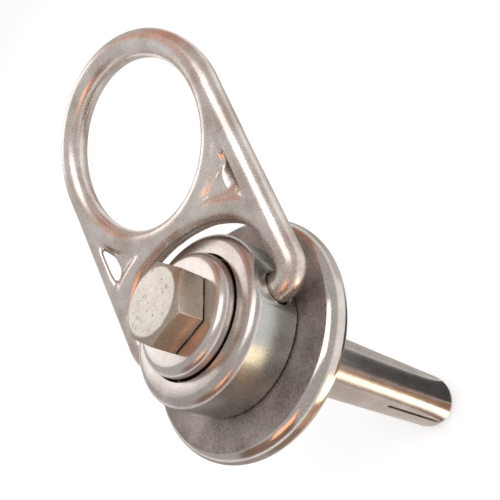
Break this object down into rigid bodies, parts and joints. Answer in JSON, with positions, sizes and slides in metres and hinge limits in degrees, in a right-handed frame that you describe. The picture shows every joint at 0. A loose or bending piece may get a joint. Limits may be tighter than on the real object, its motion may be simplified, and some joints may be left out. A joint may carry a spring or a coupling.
{
  "type": "swivel roof anchor",
  "caption": "Stainless swivel roof anchor: hinged D-ring on a rotating body, round base flange, hex bolt and slotted expansion sleeve.",
  "frame": {"origin": "centre of the base flange's back face, on the bolt's axis, where it meets the deck", "axes": "+Z along the bolt towards the hex head; X along the D-ring's pins; the D-ring leans towards +Y"},
  "size_m": [0.0826, 0.1402, 0.1937],
  "materials": {
    "base_flange": "matt cast face, polished rim",
    "hex_bolt": "grainy forged head",
    "flanged_bush": "polished",
    "swivel_body": "turned satin",
    "bearing": "plain bearing bronze",
    "d_ring": "blasted satin casting",
    "expansion_sleeve": "polished",
    "cone_nut": "turned"
  },
  "bodies": {
    "fixed": {"base_flange": "base_flange", "expansion_sleeve": "expansion_sleeve", "flanged_bush": "flanged_bush", "upper_thrust_washer": "bearing", "lower_thrust_washer": "bearing"},
    "swivel": {"swivel_body": "swivel_body", "bearing_liner": "bearing"},
    "ring": {"d_ring": "d_ring"},
    "bolt": {"hex_bolt": "hex_bolt"},
    "cone": {"cone_nut": "cone_nut"}
  },
  "joints": [
    {"name": "swivel_turn", "type": "hinge", "parent": "fixed", "child": "swivel", "pos_m": [0, 0, 0.02], "axis": [0, 0, 1], "continuous": true},
    {"name": "ring_fold", "type": "hinge", "parent": "swivel", "child": "ring", "pos_m": [0, 0, 0.019], "axis": [1, 0, 0], "range_deg": [-27.5, 155]},
    {"name": "bolt_turn", "type": "hinge", "parent": "fixed", "child": "bolt", "pos_m": [0, 0, 0], "axis": [0, 0, -1], "range_deg": [0, 360]},
    {"name": "cone_draw", "type": "slide", "parent": "fixed", "child": "cone", "axis": [0, 0, 1], "range_m": [0, 0.00201]}
  ],
  "couplings": [
    {"joint": "cone_draw", "follows": "bolt_turn", "m_per_rad": 0.00031831}
  ]
}
